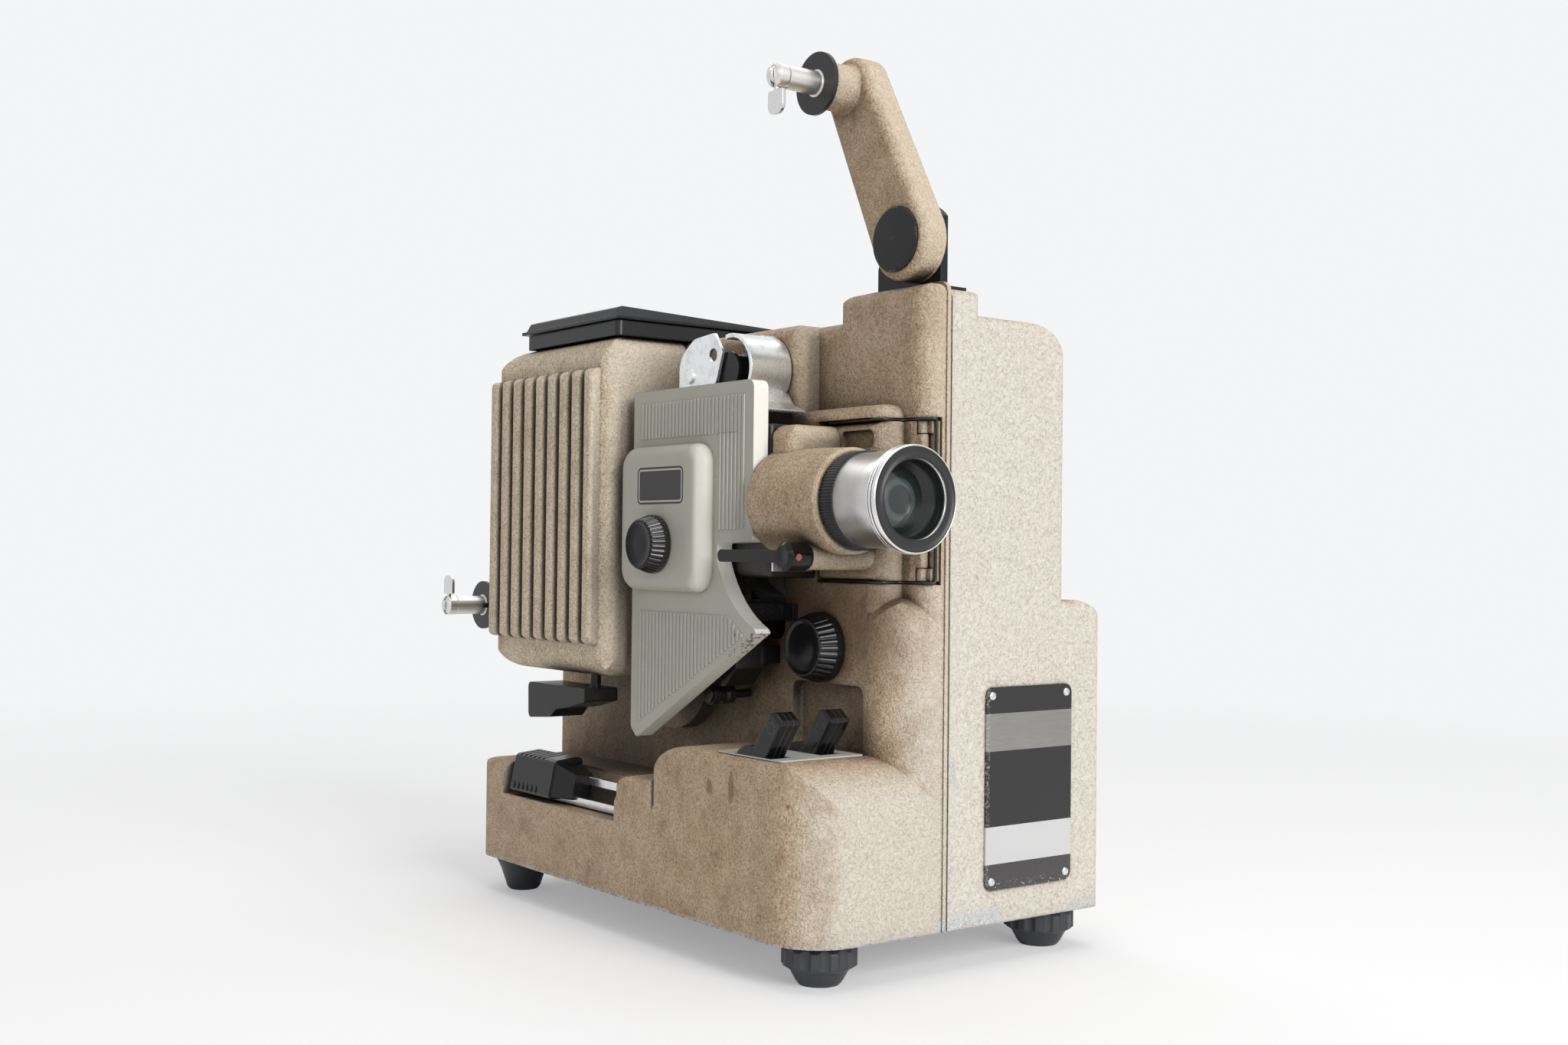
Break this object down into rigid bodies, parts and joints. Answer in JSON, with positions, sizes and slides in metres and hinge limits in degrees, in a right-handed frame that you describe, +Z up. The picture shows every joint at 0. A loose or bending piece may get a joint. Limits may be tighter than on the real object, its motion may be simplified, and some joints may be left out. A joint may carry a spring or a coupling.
{
  "type": "movie projector",
  "caption": "Small-gauge table movie projector: cast two-part housing with ribbed lamp house, zoom lens on a swinging carrier, film door, folding reel arms, levers and screw feet.",
  "frame": {"origin": "middle of the bounding box in plan, at the floor under the feet", "axes": "+Z up, -Y the way the lens throws, -X the film side where the operator stands, +X the drive side"},
  "size_m": [0.1326, 0.3084, 0.3037],
  "materials": {
    "cast_paint": "wrinkle paint",
    "sheet_steel": "zinc plated",
    "black_plastic": "gloss",
    "door_plastic": "satin",
    "bright_metal": "polished",
    "barrel_metal": "fine turned",
    "optical_glass": "polished",
    "lamp_glass": "polished",
    "plate_print": "printed bands",
    "zinc_metal": "mottled zinc chromate",
    "arm_strip": "satin",
    "foot_rubber": "matt",
    "belt_rubber": "matt",
    "motor_metal": "bare",
    "lever_plastic": "gloss",
    "white_plate": "enamel",
    "inlet_plastic": "satin"
  },
  "bodies": {
    "chassis": {"film_side_casting": "cast_paint", "drive_cover": "cast_paint", "bottom_plate": "sheet_steel", "cover_screws": "bright_metal", "mains_inlet": "inlet_plastic", "voltage_selector": "inlet_plastic", "front_plate": "plate_print", "plate_rivets": "bright_metal", "lamp_house": "cast_paint", "condenser_lens": "optical_glass", "projection_lamp": "lamp_glass", "lamp_socket": "inlet_plastic", "lamp_reflector": "bright_metal", "cap_frame": "black_plastic", "carrier_hinge": "cast_paint", "gate_housing": "zinc_metal", "aperture_plate": "bright_metal", "lever_shaft": "sheet_steel", "lever_plate": "white_plate", "slide_rails": "bright_metal", "upper_shoe": "zinc_metal", "upper_cheek": "zinc_metal", "lower_guide": "black_plastic", "lower_guard": "zinc_metal", "feed_bracket": "sheet_steel", "takeup_bracket": "sheet_steel", "rear_feet": "foot_rubber", "shutter_bearings": "cast_paint", "drive_belt": "belt_rubber", "motor": "motor_metal"},
    "carrier": {"lens_carrier": "cast_paint", "pressure_plate": "bright_metal"},
    "lens": {"lens_barrel": "barrel_metal", "lens_glasses": "optical_glass"},
    "zoom": {"zoom_ring": "black_plastic"},
    "gate_catch": {"gate_lever": "black_plastic"},
    "cover_door": {"film_door": "door_plastic", "door_box": "door_plastic"},
    "framing": {"framing_knob": "black_plastic"},
    "rotor": {"motor_rotor": "motor_metal"},
    "shutter_set": {"shutter": "sheet_steel"},
    "upper_wheel": {"upper_sprocket": "black_plastic"},
    "lower_wheel": {"lower_sprocket": "black_plastic"},
    "inching": {"inching_knob": "black_plastic"},
    "outer_lever": {"outer_switch_lever": "lever_plastic"},
    "inner_lever": {"inner_switch_lever": "lever_plastic"},
    "speed_slide_block": {"speed_slider": "black_plastic"},
    "lamp_grip": {"lamp_lever": "black_plastic"},
    "lid": {"cap_lid": "black_plastic"},
    "roller": {"lower_roller": "black_plastic"},
    "feed": {"feed_arm": "cast_paint", "feed_arm_strip": "arm_strip"},
    "feed_shaft": {"feed_spindle": "bright_metal"},
    "feed_catch": {"feed_latch": "bright_metal"},
    "takeup": {"takeup_arm": "cast_paint"},
    "takeup_shaft": {"takeup_spindle": "bright_metal"},
    "takeup_catch": {"takeup_latch": "bright_metal"},
    "left_foot": {"left_front_foot": "foot_rubber"},
    "right_foot": {"right_front_foot": "foot_rubber"}
  },
  "joints": [
    {"name": "carrier_swing", "type": "hinge", "parent": "chassis", "child": "carrier", "pos_m": [-0.0142, -0.1295, 0.1515], "axis": [0, 0, 1], "range_deg": [0, 85]},
    {"name": "lens_focus", "type": "slide", "parent": "carrier", "child": "lens", "axis": [0, -1, 0], "range_m": [0, 0.006]},
    {"name": "zoom_turn", "type": "hinge", "parent": "lens", "child": "zoom", "pos_m": [-0.039, -0.1301, 0.1514], "axis": [0, 1, 0], "range_deg": [-45, 45]},
    {"name": "gate_lever_turn", "type": "hinge", "parent": "carrier", "child": "gate_catch", "pos_m": [-0.053, -0.1147, 0.1336], "axis": [-1, 0, 0], "range_deg": [0, 90]},
    {"name": "door_pull", "type": "slide", "parent": "chassis", "child": "cover_door", "axis": [-1, 0, 0], "range_m": [0, 0.022]},
    {"name": "framing_turn", "type": "hinge", "parent": "cover_door", "child": "framing", "pos_m": [-0.058, -0.0406, 0.1372], "axis": [1, 0, 0], "range_deg": [-60, 60]},
    {"name": "motor_turn", "type": "hinge", "parent": "chassis", "child": "rotor", "pos_m": [0.022, 0.0049, 0.1355], "axis": [0, 1, 0], "continuous": true},
    {"name": "shutter_turn", "type": "hinge", "parent": "chassis", "child": "shutter_set", "pos_m": [-0.0185, -0.0451, 0.1514], "axis": [0, 1, 0], "continuous": true},
    {"name": "upper_sprocket_turn", "type": "hinge", "parent": "chassis", "child": "upper_wheel", "pos_m": [-0.028, -0.0611, 0.1975], "axis": [1, 0, 0], "continuous": true},
    {"name": "lower_sprocket_turn", "type": "hinge", "parent": "chassis", "child": "lower_wheel", "pos_m": [-0.028, -0.0591, 0.0995], "axis": [1, 0, 0], "continuous": true},
    {"name": "inching_turn", "type": "hinge", "parent": "chassis", "child": "inching", "pos_m": [-0.028, -0.0941, 0.1034], "axis": [1, 0, 0], "continuous": true},
    {"name": "outer_lever_tilt", "type": "hinge", "parent": "chassis", "child": "outer_lever", "pos_m": [-0.057, -0.1001, 0.06435], "axis": [-1, 0, 0], "range_deg": [0, 60]},
    {"name": "inner_lever_tilt", "type": "hinge", "parent": "chassis", "child": "inner_lever", "pos_m": [-0.037, -0.1001, 0.06435], "axis": [-1, 0, 0], "range_deg": [0, 60]},
    {"name": "speed_slide", "type": "slide", "parent": "chassis", "child": "speed_slide_block", "axis": [0, -1, 0], "range_m": [0, 0.03]},
    {"name": "lamp_lever_turn", "type": "hinge", "parent": "chassis", "child": "lamp_grip", "pos_m": [-0.055, 0.0049, 0.0875], "axis": [0, 0, 1], "range_deg": [-8, 8]},
    {"name": "lid_open", "type": "hinge", "parent": "chassis", "child": "lid", "pos_m": [0.0281, 0.0149, 0.219], "axis": [0, 1, 0], "range_deg": [0, 75]},
    {"name": "lower_roller_spin", "type": "hinge", "parent": "chassis", "child": "roller", "pos_m": [-0.039, -0.0526, 0.085], "axis": [1, 0, 0], "continuous": true},
    {"name": "feed_fold", "type": "hinge", "parent": "chassis", "child": "feed", "pos_m": [-0.013, -0.1196, 0.2375], "axis": [-1, 0, 0], "range_deg": [0, 62]},
    {"name": "feed_spin", "type": "hinge", "parent": "feed", "child": "feed_shaft", "pos_m": [-0.013, -0.09225, 0.29236], "axis": [1, 0, 0], "continuous": true},
    {"name": "feed_latch_flip", "type": "hinge", "parent": "feed_shaft", "child": "feed_catch", "pos_m": [-0.047, -0.09225, 0.29236], "axis": [0, 1, 0], "range_deg": [0, 90]},
    {"name": "takeup_fold", "type": "hinge", "parent": "chassis", "child": "takeup", "pos_m": [-0.013, 0.0924, 0.11], "axis": [1, 0, 0], "range_deg": [0, 90]},
    {"name": "takeup_spin", "type": "hinge", "parent": "takeup", "child": "takeup_shaft", "pos_m": [-0.013, 0.1429, 0.11], "axis": [1, 0, 0], "continuous": true},
    {"name": "takeup_latch_flip", "type": "hinge", "parent": "takeup_shaft", "child": "takeup_catch", "pos_m": [-0.047, 0.1429, 0.11], "axis": [0, -1, 0], "range_deg": [0, 90]},
    {"name": "left_foot_screw", "type": "slide", "parent": "chassis", "child": "left_foot", "axis": [0, 0, -1], "range_m": [0, 0.006]},
    {"name": "right_foot_screw", "type": "slide", "parent": "chassis", "child": "right_foot", "axis": [0, 0, -1], "range_m": [0, 0.006]}
  ],
  "couplings": [
    {"joint": "shutter_turn", "follows": "motor_turn", "ratio": 0.9},
    {"joint": "upper_sprocket_turn", "follows": "motor_turn", "ratio": -0.0833},
    {"joint": "lower_sprocket_turn", "follows": "motor_turn", "ratio": -0.0833},
    {"joint": "inching_turn", "follows": "motor_turn", "ratio": -0.9}
  ]
}
